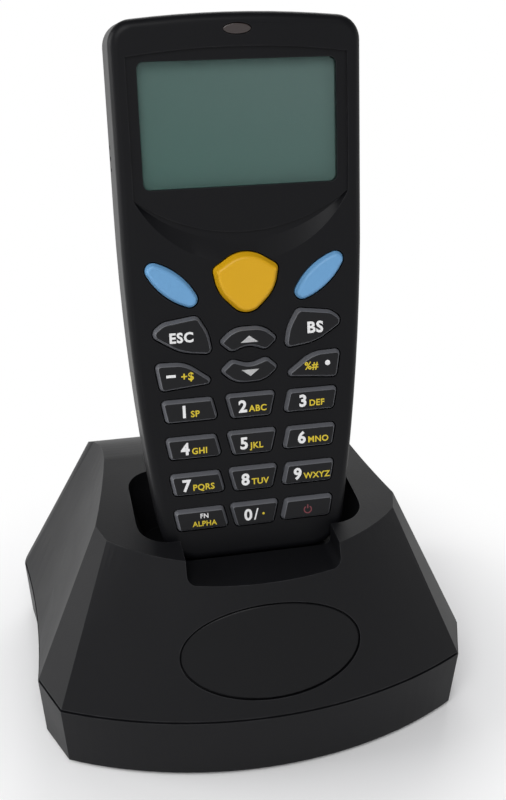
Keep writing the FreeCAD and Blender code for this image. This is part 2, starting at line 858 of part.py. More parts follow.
lcd_frame = new_body("lcd_frame")
frame_curves = window_rectangle(mm("lcd_margin") + mm("lcd_frame_wall"))
frame_curves += window_rectangle(mm("lcd_margin") + mm("fit_gap"))
pad(lcd_frame, face_sketch(lcd_frame, "ring", frame_curves, lcd_front), "lcd_thickness")
seat(lcd_frame)


# Status light lens, an oval light pipe through the face.

lens_body = new_body("status_lens")
lens_curves = oval(0, from_top("lens_drop"), mm("lens_half_width"), mm("lens_half_height"))
pad(lens_body, face_sketch(lens_body, "lens_oval", lens_curves, "fit_gap"), "lens_length")
seat(lens_body)


# Keypad: a rubber mat on the main board carries the keys through the face.

mat = new_body("keypad_mat")
mat_top = mm("terminal_length") - mm("mat_top_gap")


def cropped_outline(inset, top):
    """The terminal's outline cut off level at a height."""
    face = Part.Face(flat_wire(terminal_outline(inset)))
    wide = mm("terminal_half_width") * 2
    lower = Part.makePlane(2 * wide, top + wide, Vector(-wide, -wide, 0))
    return [edge_curve(edge) for edge in face.common(lower).Faces[0].OuterWire.OrderedEdges]


def edge_curve(edge):
    first = edge.valueAt(edge.FirstParameter)
    last = edge.valueAt(edge.LastParameter)
    if edge.Curve.TypeId == "Part::GeomLine":
        return Part.LineSegment(first, last)
    middle = edge.valueAt((edge.FirstParameter + edge.LastParameter) / 2)
    return Part.Arc(first, middle, last)


pad(mat, face_sketch(mat, "mat_outline", cropped_outline(mm("mat_inset"), mat_top),
                     "key_stem + key_travel + mat_gap"), "mat_thickness")
seat(mat)

board = new_body("main_board")
pad(board, face_sketch(board, "board_outline", terminal_outline(mm("board_inset")),
                       "key_stem + key_travel + mat_gap + mat_thickness + board_gap"),
    "board_thickness")
seat(board)

for name, curves, x, high in keys:
    key = new_body(name)
    shape_curves = shifted(curves, x, high)
    pad(key, face_sketch(key, name + "_stem", shape_curves, "0"), "key_stem")
    tall = "scan_key_height" if name == "scan_key" else "key_height"
    pad(key, face_sketch(key, name + "_cap", shape_curves, "0"), tall, False, "0 - key_bevel")
    seat(key)


# Scan engine and its window in the top end.

engine_top = scan_window_foot() - mm("engine_gap")
engine = new_body("scan_engine")
pad(engine, face_sketch(engine, "engine_face", rectangle(
    mm("engine_half"), engine_top - mm("engine_height"), engine_top, 0.8),
    "( front_depth + head_depth - engine_depth ) / 2"), "engine_depth")
seat(engine)
pane = new_body("scan_window")
pad(pane, face_sketch(pane, "pane_face", rectangle(
    mm("scan_window_half_width"), scan_window_foot(),
    scan_window_foot() + mm("scan_window_thickness"), 0.3),
    "( front_depth + head_depth ) / 2 - scan_window_half_depth"), "2 * scan_window_half_depth")
seat(pane)


# Two cells side by side behind the door, with a contact strip at each end.

def battery_depth():
    return mm("grip_depth") - mm("door_thickness") - mm("battery_gap") - mm("battery_radius")


def cell_shape(x):
    low = mm("door_foot_gap") + mm("battery_foot_gap")
    can = Part.makeCylinder(mm("battery_radius"), mm("battery_length"),
                            Vector(x, battery_depth(), low))
    nub = Part.makeCylinder(mm("battery_radius") / 3, 0.8,
                            Vector(x, battery_depth(), low + mm("battery_length")))
    return can.fuse(nub)


half_pitch = mm("battery_pitch") / 2
seat(solid("battery_cells", Part.makeCompound([cell_shape(-half_pitch), cell_shape(half_pitch)])))


def contact_strip(low):
    half = mm("battery_pitch") - 1
    deep = mm("battery_radius") * 0.8
    return Part.makeBox(2 * half, 2 * deep, mm("tab_thickness"),
                        Vector(-half, battery_depth() - deep, low))


strip_low = mm("door_foot_gap") + mm("battery_foot_gap") - mm("tab_thickness")
strip_high = mm("door_foot_gap") + mm("battery_foot_gap") + mm("battery_length") + 0.8
seat(solid("battery_contacts", Part.makeCompound(
    [contact_strip(strip_low), contact_strip(strip_high)])))


# Sounder disc behind the side slots.

sounder_centre = Vector(
    -mm("terminal_half_width") + mm("shell_wall") + mm("sounder_gap"),
    mm("slot_depth_place") + mm("slot_length") / 2,
    from_top("slot_drop") - mm("slot_pitch") + mm("slot_width") / 2)
seat(solid("sounder", Part.makeCylinder(
    mm("sounder_radius"), mm("sounder_thickness"), sounder_centre, Vector(1, 0, 0))))


# Charging contacts and the infrared window in the foot.

contact_low = mm("contact_height")
seat(solid("charge_contacts", Part.makeCompound(
    [foot_contact(x, 0, contact_low, contact_low + mm("contact_thickness"))
     for x in contact_places()])))
seat(solid("infrared_window", foot_window(0, contact_low, contact_low + mm("infrared_thickness"))))


# Cradle outline: a bowed front, cut corners, waisted sides and rounded rear corners.

def cradle_outline(inset, top):
    prefix = "top_" if top else ""
    front = mm("top_front_y") if top else mm("cradle_front")
    rear = mm("top_rear_y") if top else mm("cradle_rear")
    first = Vector(mm(prefix + "corner_half_width") - inset, -mm(prefix + "corner_y") + inset, 0)
    second = Vector(mm(prefix + "side_half_width") - inset, -mm(prefix + "side_y") + inset / 3, 0)
    waist = Vector(mm(prefix + "waist_half_width") - inset, mm("waist_y"), 0)
    third = Vector(mm(prefix + "rear_half_width") - inset, mm(prefix + "rear_side_y") - inset / 2, 0)
    fourth = Vector(mm(prefix + "rear_corner_x") - inset / 2, rear - inset, 0)
    bulge = mm("rear_corner_bulge")
    middle = (third + fourth) * 0.5
    out = Vector(fourth.y - third.y, third.x - fourth.x, 0).normalize()
    middle = middle + out * bulge

    def flip(point):
        return Vector(-point.x, point.y, 0)

    return Part.Wire([curve.toShape() for curve in [
        Part.Arc(flip(first), Vector(0, -front + inset, 0), first),
        Part.LineSegment(first, second),
        Part.Arc(second, waist, third),
        Part.Arc(third, middle, fourth),
        Part.LineSegment(fourth, flip(fourth)),
        Part.Arc(flip(fourth), flip(middle), flip(third)),
        Part.Arc(flip(third), flip(waist), flip(second)),
        Part.LineSegment(flip(second), flip(first)),
    ]])


def at_height(wire, z):
    copy = wire.copy()
    copy.translate(Vector(0, 0, z))
    return copy


def cover_loft(inset):
    low = at_height(cradle_outline(inset, False), mm("parting_height"))
    high = at_height(cradle_outline(inset, True), mm("cover_height"))
    return Part.makeLoft([low, high], True, True)


def deck_profile(drop):
    """The side view of the deck: a straight rise to the crest, then a round tail."""
    front = -mm("cradle_front")
    crest = mm("deck_crest_y")
    rear = mm("cradle_rear")
    high = mm("deck_rear_height") - drop
    tail = mm("deck_tail_height") - drop
    slope = (mm("deck_rear_height") - mm("deck_front_height")) / (crest - front)
    start = Vector(0, front - 10, mm("deck_front_height") - drop - 10 * slope)
    peak = Vector(0, crest, high)
    hump = Vector(0, (crest + rear) / 2 + 1.5, high - (high - tail) * 0.24)
    end = Vector(0, rear + 1, tail)
    under = Vector(0, rear + 1, 0)
    back = Vector(0, front - 10, 0)
    wire = Part.Wire([
        Part.LineSegment(start, peak).toShape(),
        Part.Arc(peak, hump, end).toShape(),
        Part.LineSegment(end, under).toShape(),
        Part.LineSegment(under, back).toShape(),
        Part.LineSegment(back, start).toShape(),
    ])
    wide = mm("rear_half_width") + 5
    face = Part.Face(wire)
    face.translate(Vector(-wide, 0, 0))
    return face.extrude(Vector(2 * wide, 0, 0))


cover_outside = cover_loft(0).common(deck_profile(0))
cover_inside = cover_loft(mm("cover_wall")).common(deck_profile(mm("deck_wall")))


# The pocket: a tapered well square to the leaning terminal, opening out to the deck.

def pocket_section(grow, z, flare):
    half = mm("pocket_floor_half_width") + flare + grow
    low = -mm("seat_clearance") - flare / 2 - grow
    high = mm("grip_depth") + mm("seat_clearance") + flare / 2 + grow
    radius = mm("pocket_corner_radius") + grow
    return at_height(flat_wire(rectangle(half, low, high, radius)), z)


def pocket_well(grow):
    floor = -mm("seat_clearance") - grow
    flare = mm("pocket_half_width") - mm("pocket_floor_half_width")
    high = mm("pocket_flare_height")
    lower = pocket_section(grow, floor, 0)
    upper = pocket_section(grow, high, flare)
    top = at_height(pocket_section(grow, 0, flare), high * 4)
    well = Part.makeLoft([lower, upper], True, True)
    well = well.fuse(Part.makeLoft([upper, top], True, True))
    well.Placement = LEAN.multiply(well.Placement)
    return well


def notch_block(grow):
    half = mm("notch_half_width") + grow
    low = mm("notch_floor") - grow
    wire = flat_wire(rectangle(
        half, low, low + mm("cover_height"), mm("notch_corner_radius") + grow))
    return prism(wire, -mm("cradle_front") - 5, mm("cradle_front") + 5 - mm("seat_front_y") + 2)


def oval_prism(grow, deep):
    """An elliptical block square to the sloping front, centred on the inlay."""
    curves = oval(0, 0, mm("oval_half_width") + grow, mm("oval_half_height") + grow)
    block = prism(flat_wire(curves), -deep, 2 * deep)
    block.rotate(Vector(0, 0, 0), Vector(1, 0, 0), -mm("oval_tilt"))
    block.translate(Vector(0, -oval_front_y(), mm("oval_centre_height")))
    return block


def oval_front_y():
    rise = (mm("oval_centre_height") - mm("parting_height")) / (mm("cover_height") - mm("parting_height"))
    return mm("cradle_front") + (mm("top_front_y") - mm("cradle_front")) * rise


def sunk(shape, depth):
    """A copy moved straight into the sloping front."""
    tilt = math.radians(mm("oval_tilt"))
    copy = shape.copy()
    copy.translate(Vector(0, math.cos(tilt), -math.sin(tilt)) * depth)
    return copy


def cradle_screw_places():
    return [(side * mm("screw_place_x"), y)
            for side in (-1, 1) for y in (-mm("screw_front_y"), mm("screw_rear_y"))]


def cover_shape():
    shell = cover_outside.cut(cover_inside)
    shell = shell.fuse(pocket_well(mm("pocket_wall")).common(cover_outside))
    shell = shell.fuse(notch_block(mm("pocket_wall")).common(cover_outside))
    for x, y in cradle_screw_places():
        boss = Part.makeCylinder(
            mm("cradle_screw_radius") + mm("boss_wall"), mm("cover_height"),
            Vector(x, y, mm("parting_height")))
        shell = shell.fuse(boss.common(cover_outside))
    shell = shell.cut(pocket_well(0)).cut(notch_block(0))
    for x, y in cradle_screw_places():
        hole = Part.makeCylinder(
            mm("cradle_screw_radius"), mm("cradle_screw_length"), Vector(x, y, screw_seat()))
        shell = shell.cut(hole)
    under = -mm("seat_clearance") - mm("pocket_wall") - 1
    for x in contact_places():
        hole = Part.makeCylinder(
            mm("pin_radius") + mm("pin_clearance"), 10, Vector(x, mm("contact_depth_place"), under))
        hole.Placement = LEAN.multiply(hole.Placement)
        shell = shell.cut(hole)
    eye = foot_window(mm("fit_gap"), under, 1)
    eye.Placement = LEAN.multiply(eye.Placement)
    shell = shell.cut(eye)
    recess = oval_prism(mm("oval_gap"), 8).cut(
        sunk(cover_outside, mm("oval_thickness") + mm("oval_sink")))
    shell = shell.cut(recess)
    groove = mm("parting_groove")
    rim = Part.Face(at_height(cradle_outline(-1, False), mm("parting_height")))
    rim = rim.extrude(Vector(0, 0, groove))
    keepsake = Part.Face(at_height(cradle_outline(groove, False), mm("parting_height")))
    keepsake = keepsake.extrude(Vector(0, 0, groove))
    return shell.cut(rim.cut(keepsake)).removeSplitter()


def screw_seat():
    return mm("cradle_foot_height") + mm("foot_seat") + mm("cradle_screw_head")


solid("cradle_cover", cover_shape())

inlay = oval_prism(0, 8).common(sunk(cover_outside, mm("oval_sink")))
solid("oval_inlay", inlay.cut(sunk(cover_outside, mm("oval_sink") + mm("oval_thickness"))))


# Cradle tray: a drafted pan with screw posts, foot seats and two socket openings.

def tray_shape():
    low = at_height(cradle_outline(mm("base_draft"), False), mm("cradle_foot_height"))
    high = at_height(cradle_outline(0, False), mm("parting_height"))
    tray = Part.makeLoft([low, high], True, True)
    inner_low = at_height(cradle_outline(mm("base_draft") + mm("tray_wall"), False), tray_floor_top())
    inner_high = at_height(cradle_outline(mm("tray_wall"), False), mm("parting_height"))
    tray = tray.cut(Part.makeLoft([inner_low, inner_high], True, True))
    for x, y in cradle_screw_places():
        boss = Part.makeCylinder(
            mm("cradle_screw_head_radius") + mm("boss_wall"),
            mm("parting_height") - mm("cradle_foot_height"), Vector(x, y, mm("cradle_foot_height")))
        hole = Part.makeCylinder(
            mm("cradle_screw_radius") + mm("screw_clearance"), mm("parting_height"), Vector(x, y, 0))
        sink = Part.makeCylinder(
            mm("cradle_screw_head_radius") + mm("screw_clearance"), screw_seat(), Vector(x, y, 0))
        tray = tray.fuse(boss).cut(hole).cut(sink)
    for x, y in foot_places():
        seat_hole = Part.makeCylinder(
            mm("cradle_foot_radius"), mm("cradle_foot_height") + mm("foot_seat"), Vector(x, y, 0))
        tray = tray.cut(seat_hole)
    gap = mm("fit_gap")
    deep = 3 * mm("tray_wall")
    rear = mm("cradle_rear") - 2 * mm("tray_wall")
    port = Part.makeBox(
        2 * (mm("port_half_width") + gap), deep, mm("port_height") + 2 * gap,
        Vector(mm("socket_place") - mm("port_half_width") - gap, rear, socket_base() - gap))
    jack = Part.makeBox(
        2 * (mm("jack_half_width") + gap), deep, mm("jack_height") + 2 * gap,
        Vector(-mm("socket_place") - mm("jack_half_width") - gap, rear, socket_base() - gap))
    return tray.cut(port).cut(jack).removeSplitter()


def tray_floor_top():
    return mm("cradle_foot_height") + mm("tray_floor")


def cradle_board_base():
    return tray_floor_top() + mm("cradle_board_gap")


def socket_base():
    return cradle_board_base() + mm("board_thickness")


def foot_places():
    return [(side * mm("foot_inset_x"), y)
            for side in (-1, 1) for y in (-mm("foot_front_y"), mm("foot_rear_y"))]


solid("cradle_tray", tray_shape())


def foot_shape(x, y):
    return Part.makeCylinder(
        mm("cradle_foot_radius"), mm("cradle_foot_height") + mm("foot_seat"), Vector(x, y, 0))


solid("rubber_feet", Part.makeCompound([foot_shape(x, y) for x, y in foot_places()]))


def cradle_screw(x, y):
    head_base = screw_seat() - mm("cradle_screw_head")
    head = Part.makeCylinder(
        mm("cradle_screw_head_radius"), mm("cradle_screw_head"), Vector(x, y, head_base))
    shank = Part.makeCylinder(
        mm("cradle_screw_radius"), mm("cradle_screw_length"), Vector(x, y, screw_seat()))
    long = mm("cradle_screw_head_radius") * 1.2
    wide = mm("cradle_screw_head_radius") * 0.25
    slot = Part.makeBox(long, wide, mm("cradle_screw_head") / 2,
                        Vector(x - long / 2, y - wide / 2, head_base))
    cross = slot.copy()
    cross.rotate(Vector(x, y, 0), Vector(0, 0, 1), 90)
    return head.fuse(shank).cut(slot).cut(cross)


solid("cradle_screws", Part.makeCompound([cradle_screw(x, y) for x, y in cradle_screw_places()]))

keep(box("ballast", "2 * ballast_half_width", "ballast_depth", "ballast_thickness",
         "0 - ballast_half_width", "0 - ballast_front_y", "cradle_foot_height + tray_floor + fit_gap"),
     "ballast_plate")
keep(box("base_board", "2 * cradle_board_half_width", "cradle_board_depth", "board_thickness",
         "0 - cradle_board_half_width", "cradle_rear - tray_wall - base_draft - cradle_board_depth",
         "cradle_foot_height + tray_floor + cradle_board_gap"), "cradle_board")


# Sockets on the cradle's board: a round power inlet and a square data port.

def socket_rear():
    return mm("cradle_rear") - mm("base_draft") - mm("socket_recess")


def power_inlet():
    x = -mm("socket_place")
    low = socket_base()
    front = socket_rear() - mm("jack_length")
    body = Part.makeBox(2 * mm("jack_half_width"), mm("jack_length"), mm("jack_height"),
                        Vector(x - mm("jack_half_width"), front, low))
    centre = Vector(x, front + 2, low + mm("jack_height") / 2)
    bore = Part.makeCylinder(mm("jack_radius"), mm("jack_length"), centre, Vector(0, 1, 0))
    pin = Part.makeCylinder(
        mm("jack_pin_radius"), mm("jack_length") - 3, centre, Vector(0, 1, 0))
    return body.cut(bore).fuse(pin)


def data_socket():
    x = mm("socket_place")
    low = socket_base()
    front = socket_rear() - mm("port_length")
    body = Part.makeBox(2 * mm("port_half_width"), mm("port_length"), mm("port_height"),
                        Vector(x - mm("port_half_width"), front, low))
    mouth_low = low + (mm("port_height") - mm("port_mouth_height")) / 2
    mouth = Part.makeBox(
        2 * mm("port_mouth_half_width"), mm("port_length"), mm("port_mouth_height"),
        Vector(x - mm("port_mouth_half_width"), front + 2, mouth_low))
    key = mm("port_mouth_half_width") / 3
    keyway = Part.makeBox(2 * key, mm("port_length"), mm("port_height") / 2,
                          Vector(x - key, front + 2, low + 0.8))
    return body.cut(mouth).cut(keyway)


solid("power_inlet", power_inlet())
solid("data_port", data_socket())


# Sprung charging pins in their block under the pocket's floor.

block_top = -mm("seat_clearance") - mm("pocket_wall") - mm("fit_gap")
block = Part.makeBox(
    2 * mm("block_half_width"), mm("block_depth"), mm("block_height"),
    Vector(-mm("block_half_width"), mm("contact_depth_place") - mm("block_depth") / 2,
           block_top - mm("block_height")))
for x in contact_places():
    block = block.cut(Part.makeCylinder(
        mm("pin_radius") + mm("pin_clearance"), mm("block_height"),
        Vector(x, mm("contact_depth_place"), block_top - mm("block_height"))))
seat(solid("contact_block", block))


def charge_pin(x):
    tip = mm("contact_height") - mm("pin_gap")
    radius = mm("pin_radius")
    shank = Part.makeCylinder(radius, mm("pin_length") - radius / 2,
                              Vector(x, mm("contact_depth_place"), tip - mm("pin_length")))
    nose = Part.makeCone(radius, radius / 2, radius / 2,
                         Vector(x, mm("contact_depth_place"), tip - radius / 2))
    return shank.fuse(nose)


seat(solid("contact_pins", Part.makeCompound([charge_pin(x) for x in contact_places()])))
eye_top = -mm("seat_clearance") - mm("fit_gap")
seat(solid("cradle_infrared_window",
           foot_window(0, eye_top - mm("infrared_thickness"), eye_top)))


# Every object has to be sound before anything is written.

doc.recompute()
for obj in doc.Objects:
    if "Invalid" in obj.State or "Error" in obj.State:
        raise RuntimeError(f"{obj.Label} failed: {obj.State}")
for label, obj in parts.items():
    if obj.Shape.isNull() or not obj.Shape.isValid() or not obj.Shape.Solids:
        raise RuntimeError(f"{label} has no sound shape")

os.makedirs("parts", exist_ok=True)
for label, obj in parts.items():
    obj.Shape.exportStep(os.path.join("parts", label + ".step"))
print(len(parts), "parts written")
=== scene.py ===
import json
import math

import bmesh
import bpy
from mathutils import Matrix, Vector


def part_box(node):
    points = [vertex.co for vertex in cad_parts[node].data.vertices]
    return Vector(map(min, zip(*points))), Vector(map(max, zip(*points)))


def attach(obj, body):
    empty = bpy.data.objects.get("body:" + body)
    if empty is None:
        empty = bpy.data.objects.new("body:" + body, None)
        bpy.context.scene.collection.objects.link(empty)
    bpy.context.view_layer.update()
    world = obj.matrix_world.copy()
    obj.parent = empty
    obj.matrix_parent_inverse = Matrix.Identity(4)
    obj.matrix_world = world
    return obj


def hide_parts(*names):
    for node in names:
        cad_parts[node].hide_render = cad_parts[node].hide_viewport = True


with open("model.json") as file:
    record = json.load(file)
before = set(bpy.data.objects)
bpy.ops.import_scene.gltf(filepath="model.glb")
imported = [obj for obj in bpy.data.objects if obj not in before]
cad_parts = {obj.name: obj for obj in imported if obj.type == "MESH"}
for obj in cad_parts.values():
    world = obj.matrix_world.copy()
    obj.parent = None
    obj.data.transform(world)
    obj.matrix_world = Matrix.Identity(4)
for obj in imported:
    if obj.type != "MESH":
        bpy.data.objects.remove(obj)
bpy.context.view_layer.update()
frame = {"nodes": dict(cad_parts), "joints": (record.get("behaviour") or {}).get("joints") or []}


# Studio: a pale table that runs out to a white backdrop, and three soft lamps. The camera looks
# from a little above and to the left of the keypad, as the photograph was taken.
CAMERA_PLACE = Vector((-0.0500, -0.2429, 0.1957))
CAMERA_AZIMUTH = math.radians(-12.52)
CAMERA_ELEVATION = math.radians(25.19)
CAMERA_LENS = 49.03
SENSOR_HEIGHT = 36.0
TABLE_SIZE = 4.0
TABLE_WHITE = 0.95
SHADOW_NEAR = 0.055
SHADOW_FAR = 0.12
ROOM_COLOUR = (0.97, 0.97, 1.0, 1)
ROOM_LEVEL = 0.34
HORIZON_HEIGHT = 0.08
CEILING_HEIGHT = 0.5
CEILING_LEVEL = 0.16
WHITE = (1, 1, 1, 1)
LAMP_AIM = Vector((0, 0, 0.06))
WINDOW_AIM = Vector((0, 0, 0.08))

scene = bpy.context.scene
scene.view_settings.view_transform = "Standard"


def link(obj):
    scene.collection.objects.link(obj)
    return obj


def camera_turn(azimuth, elevation):
    back = Vector((math.sin(azimuth) * math.cos(elevation),
                   -math.cos(azimuth) * math.cos(elevation),
                   math.sin(elevation)))
    right = Vector((math.cos(azimuth), math.sin(azimuth), 0))
    up = back.cross(right)
    return Matrix((right, up, back)).transposed().to_4x4()


lens = bpy.data.cameras.new("camera")
lens.sensor_fit = "VERTICAL"
lens.sensor_height = SENSOR_HEIGHT
lens.lens = CAMERA_LENS
lens.clip_start = 0.01
camera = link(bpy.data.objects.new("camera", lens))
camera.matrix_world = Matrix.Translation(CAMERA_PLACE) @ camera_turn(CAMERA_AZIMUTH, CAMERA_ELEVATION)
scene.camera = camera


def new_material(name):
    """A material with only its Principled shader and output."""
    material = bpy.data.materials.new(name)
    material.use_nodes = True
    return material, material.node_tree, material.node_tree.nodes["Principled BSDF"]


def math_node(nodes, links, operation, *values):
    """A maths node whose inputs are numbers or other nodes' outputs."""
    node = nodes.new("ShaderNodeMath")
    node.operation = operation
    for socket, value in zip(node.inputs, values):
        if isinstance(value, (int, float)):
            socket.default_value = value
        else:
            links.new(value, socket)
    return node.outputs[0]


def ramp_node(nodes, links, value, low, high, start, end):
    """Maps a value that runs from low to high onto start to end, with soft ends."""
    node = nodes.new("ShaderNodeMapRange")
    node.interpolation_type = "SMOOTHSTEP"
    links.new(value, node.inputs["Value"])
    node.inputs["From Min"].default_value = low
    node.inputs["From Max"].default_value = high
    node.inputs["To Min"].default_value = start
    node.inputs["To Max"].default_value = end
    return node.outputs["Result"]


def seen_directly(nodes, links, path):
    """One for camera, glossy and transmission rays, which show the white backdrop."""
    camera_ray = path.outputs["Is Camera Ray"]
    seen = math_node(nodes, links, "MAXIMUM", camera_ray, path.outputs["Is Glossy Ray"])
    return math_node(nodes, links, "MAXIMUM", seen, path.outputs["Is Transmission Ray"])


def table_material():
    """White laminate that keeps the object's shadow and fades into the backdrop further out."""
    material, tree, shader = new_material("table_white")
    nodes, links = tree.nodes, tree.links
    shader.inputs["Base Color"].default_value = (TABLE_WHITE, TABLE_WHITE, TABLE_WHITE, 1)
    shader.inputs["Roughness"].default_value = 0.7
    shader.inputs["Specular IOR Level"].default_value = 0.2
    place = nodes.new("ShaderNodeTexCoord")
    length = nodes.new("ShaderNodeVectorMath")
    length.operation = "LENGTH"
    links.new(place.outputs["Object"], length.inputs[0])
    far = ramp_node(nodes, links, length.outputs["Value"], SHADOW_NEAR, SHADOW_FAR, 0.0, 1.0)
    direct = seen_directly(nodes, links, nodes.new("ShaderNodeLightPath"))
    glow = nodes.new("ShaderNodeEmission")
    glow.inputs["Color"].default_value = WHITE
    mix = nodes.new("ShaderNodeMixShader")
    links.new(math_node(nodes, links, "MULTIPLY", far, direct), mix.inputs["Fac"])
    links.new(shader.outputs["BSDF"], mix.inputs[1])
    links.new(glow.outputs["Emission"], mix.inputs[2])
    links.new(mix.outputs["Shader"], nodes["Material Output"].inputs["Surface"])
    return material


def studio():
    """The table, and a room that is dim for light and white for the camera."""
    mesh = bpy.data.meshes.new("table")
    bm = bmesh.new()
    bmesh.ops.create_grid(bm, x_segments=1, y_segments=1, size=TABLE_SIZE)
    bm.to_mesh(mesh)
    bm.free()
    table = link(bpy.data.objects.new("table", mesh))
    mesh.materials.append(table_material())

    world = bpy.data.worlds.new("studio")
    scene.world = world
    world.use_nodes = True
    nodes = world.node_tree.nodes
    links = world.node_tree.links
    room = nodes["Background"]
    room.inputs["Color"].default_value = ROOM_COLOUR
    room.inputs["Strength"].default_value = ROOM_LEVEL
    white = nodes.new("ShaderNodeBackground")
    white.inputs["Color"].default_value = WHITE
    path = nodes.new("ShaderNodeLightPath")
    direct = seen_directly(nodes, links, path)
    place = nodes.new("ShaderNodeTexCoord")
    split = nodes.new("ShaderNodeSeparateXYZ")
    links.new(place.outputs["Generated"], split.inputs["Vector"])
    height = ramp_node(nodes, links, split.outputs["Z"], HORIZON_HEIGHT, CEILING_HEIGHT, 1.0, CEILING_LEVEL)
    level = math_node(nodes, links, "MAXIMUM", height, path.outputs["Is Camera Ray"])
    links.new(level, white.inputs["Strength"])
    mix = nodes.new("ShaderNodeMixShader")
    links.new(direct, mix.inputs["Fac"])
    links.new(room.outputs["Background"], mix.inputs[1])
    links.new(white.outputs["Background"], mix.inputs[2])
    links.new(mix.outputs["Shader"], nodes["World Output"].inputs["Surface"])


def softbox(name, place, aim, width, height, watts):
    """A rectangular lamp turned to its aim."""
    light = bpy.data.lights.new(name, "AREA")
    light.shape = "RECTANGLE"
    light.size = width
    light.size_y = height
    light.energy = watts
    lamp = link(bpy.data.objects.new(name, light))
    turn = (aim - Vector(place)).to_track_quat("-Z", "Y")
    lamp.matrix_world = Matrix.Translation(place) @ turn.to_matrix().to_4x4()


studio()
softbox("front_softbox", (-0.30, -0.80, 1.00), LAMP_AIM, 0.9, 0.7, 9.0)
softbox("left_window", (-1.10, 0.20, 0.45), WINDOW_AIM, 0.6, 0.8, 7.0)
softbox("back_window", (0.35, 1.05, 0.75), LAMP_AIM, 0.8, 0.6, 4.5)


# Terminal housings: front shell, rear shell and battery door in charcoal plastic with a fine satin
# grain. Every outer edge has a small radius, and its colour is made lighter, partly as rubbing from
# handling and partly as a painted highlight.
SHELL_COLOUR = (0.0048, 0.0049, 0.0060, 1)
SHEEN = 0.13
MERGE = 2e-6
FLAT_ANGLE = math.radians(0.4)
CREASE_ANGLE = math.radians(28)
SHARP_ANGLE = math.radians(9)
SHELL_EDGE = 0.00022
DOOR_EDGE = 0.0002
GRAIN_HEIGHT = 0.00004
TONE_SCALE = 60.0
# The edge mask and its lighter colour stand partly for rubbing from handling and partly for painted
# highlights on the edges.
WEAR_HIGHLIGHT_SCALE = 220.0
WEAR_HIGHLIGHT_WIDTH = 0.00035
WEAR_POLISH = 0.12
WEAR_HIGHLIGHT_GAIN = 2.2
WEAR_HIGHLIGHT_LIFT = 0.022
EDGE_START = 0.995
EDGE_FULL = 0.90

joints = {joint["name"]: joint for joint in frame["joints"]}
UP = Vector(joints["terminal_lift"]["axis"]).normalized()
INTO = Vector(joints["scan_key_press"]["axis"]).normalized()
ACROSS = Vector((1, 0, 0))


def grain_group():
    """Moulding grain: a fine bump, and roughness and tone that drift over the surface."""
    group = bpy.data.node_groups.new("moulding_grain", "ShaderNodeTree")
    face = group.interface
    face.new_socket("Colour", in_out="INPUT", socket_type="NodeSocketColor")
    face.new_socket("Roughness", in_out="INPUT", socket_type="NodeSocketFloat")
    face.new_socket("Grain Scale", in_out="INPUT", socket_type="NodeSocketFloat")
    face.new_socket("Grain Depth", in_out="INPUT", socket_type="NodeSocketFloat")
    face.new_socket("Drift", in_out="INPUT", socket_type="NodeSocketFloat")
    face.new_socket("Colour", in_out="OUTPUT", socket_type="NodeSocketColor")
    face.new_socket("Roughness", in_out="OUTPUT", socket_type="NodeSocketFloat")
    face.new_socket("Normal", in_out="OUTPUT", socket_type="NodeSocketVector")
    nodes = group.nodes
    links = group.links
    given = nodes.new("NodeGroupInput")
    result = nodes.new("NodeGroupOutput")
    place = nodes.new("ShaderNodeTexCoord")

    fine = nodes.new("ShaderNodeTexNoise")
    fine.inputs["Detail"].default_value = 3.0
    links.new(place.outputs["Object"], fine.inputs["Vector"])
    links.new(given.outputs["Grain Scale"], fine.inputs["Scale"])
    bump = nodes.new("ShaderNodeBump")
    bump.inputs["Distance"].default_value = GRAIN_HEIGHT
    links.new(given.outputs["Grain Depth"], bump.inputs["Strength"])
    links.new(fine.outputs["Fac"], bump.inputs["Height"])

    broad = nodes.new("ShaderNodeTexNoise")
    broad.inputs["Scale"].default_value = TONE_SCALE
    broad.inputs["Detail"].default_value = 4.0
    links.new(place.outputs["Object"], broad.inputs["Vector"])
    swing = math_node(nodes, links, "SUBTRACT", broad.outputs["Fac"], 0.5)
    amount = math_node(nodes, links, "MULTIPLY", swing, given.outputs["Drift"])
    rough = math_node(nodes, links, "ADD", given.outputs["Roughness"], amount)
    tone = nodes.new("ShaderNodeVectorMath")
    tone.operation = "SCALE"
    links.new(given.outputs["Colour"], tone.inputs[0])
    links.new(math_node(nodes, links, "ADD", amount, 1.0), tone.inputs["Scale"])

    links.new(tone.outputs["Vector"], result.inputs["Colour"])
    links.new(rough, result.inputs["Roughness"])
    links.new(bump.outputs["Normal"], result.inputs["Normal"])
    return group


